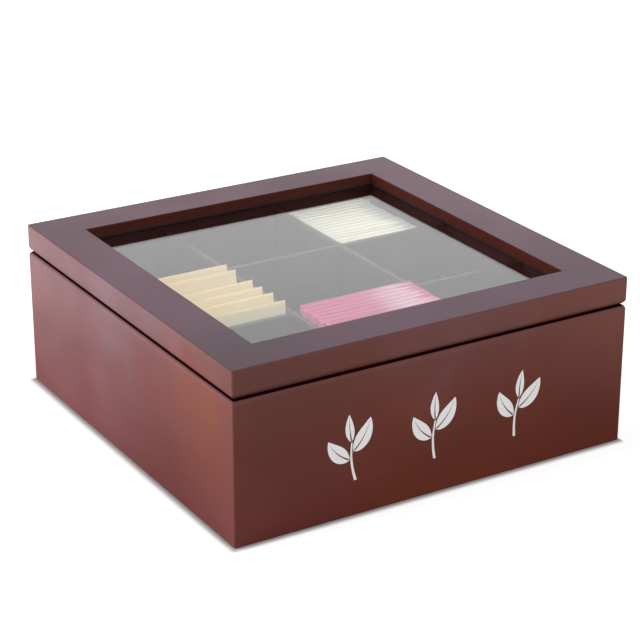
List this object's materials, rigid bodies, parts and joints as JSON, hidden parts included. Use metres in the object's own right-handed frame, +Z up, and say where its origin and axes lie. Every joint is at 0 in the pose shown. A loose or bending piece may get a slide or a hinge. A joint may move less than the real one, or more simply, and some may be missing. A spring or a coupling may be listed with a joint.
{
  "type": "tea chest",
  "caption": "Low square wooden tea chest with a hinged lid that frames a glass window, over a grid of compartments for paper tea sachets, some of them filled.",
  "frame": {"origin": "middle of the footprint, on the surface that the chest stands on", "axes": "+X to the right along the front, +Y from the front to the hinged back, +Z up"},
  "size_m": [0.24, 0.24, 0.096],
  "materials": {
    "case_wood": "satin, dark red-brown stain",
    "lid_wood": "satin, dark red-brown stain",
    "inner_wood": "matt, dark stain",
    "window_glass": "clear, polished",
    "hinge_brass": "satin",
    "screw_brass": "satin",
    "nail_steel": "plain",
    "cream_paper": "matt",
    "pink_paper": "matt",
    "white_paper": "matt"
  },
  "bodies": {
    "case": {"front_panel": "case_wood", "rear_panel": "case_wood", "left_panel": "case_wood", "right_panel": "case_wood", "bottom_panel": "inner_wood", "divider_long_front": "inner_wood", "divider_long_rear": "inner_wood", "divider_cross_left": "inner_wood", "divider_cross_right": "inner_wood", "hinge_left_case_leaf": "hinge_brass", "hinge_left_pin": "hinge_brass", "hinge_right_case_leaf": "hinge_brass", "hinge_right_pin": "hinge_brass", "case_hinge_screws": "screw_brass", "sachets_cream": "cream_paper", "sachets_pink": "pink_paper", "sachets_white": "white_paper"},
    "lid": {"lid_front_rail": "lid_wood", "lid_rear_rail": "lid_wood", "lid_left_stile": "lid_wood", "lid_right_stile": "lid_wood", "glass_pane": "window_glass", "bead_front": "inner_wood", "bead_rear": "inner_wood", "bead_left": "inner_wood", "bead_right": "inner_wood", "bead_brads": "nail_steel", "hinge_left_lid_leaf": "hinge_brass", "hinge_right_lid_leaf": "hinge_brass", "lid_hinge_screws": "screw_brass"}
  },
  "joints": [
    {"name": "lid_hinge", "type": "hinge", "parent": "case", "child": "lid", "pos_m": [0, 0.1186, 0.0802], "axis": [-1, 0, 0], "range_deg": [0, 100]}
  ]
}
